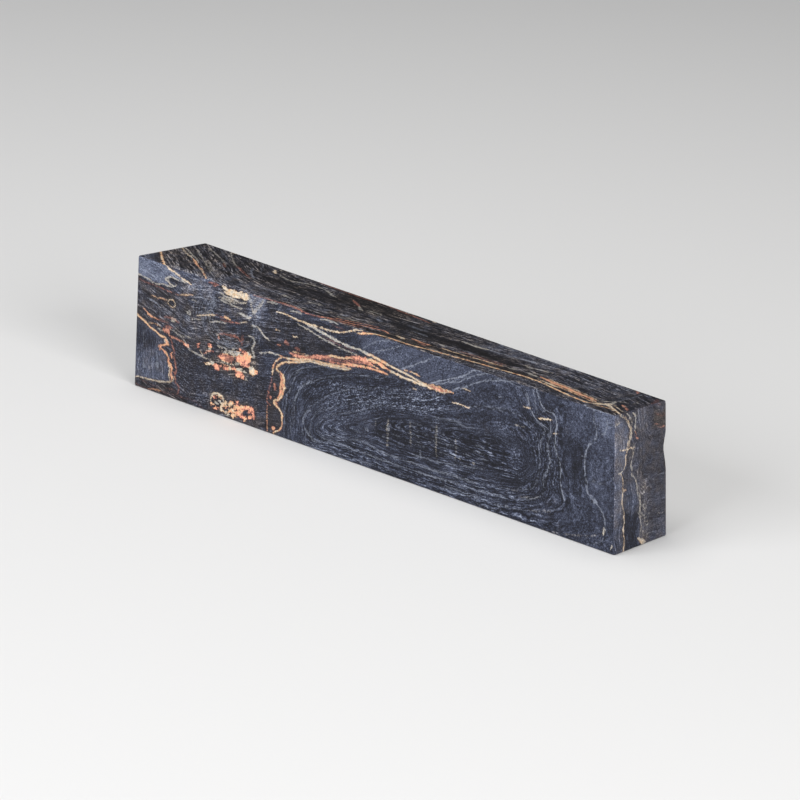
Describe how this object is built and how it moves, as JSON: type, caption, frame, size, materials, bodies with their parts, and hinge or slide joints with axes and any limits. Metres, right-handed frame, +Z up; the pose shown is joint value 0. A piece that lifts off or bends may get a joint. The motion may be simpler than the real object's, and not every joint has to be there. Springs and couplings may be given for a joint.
{
  "type": "stabilised box elder burl blank",
  "caption": "Long sawn block of dyed, resin-stabilised box elder burl, a blank for handles and turned work, with eased edges and a hollow in one back corner.",
  "frame": {"origin": "centre of the base of the block's bounding box, on the face it rests on", "axes": "+X along the length towards the end with the hollow, +Y away from the front broad face, +Z up from the narrow face it rests on"},
  "size_m": [0.16, 0.0222, 0.0338],
  "materials": {
    "dyed_burl_wood": "satin, sanded, dyed blue-black with tan and peach veins"
  },
  "bodies": {
    "root": {"burl_block": "dyed_burl_wood"}
  },
  "joints": []
}
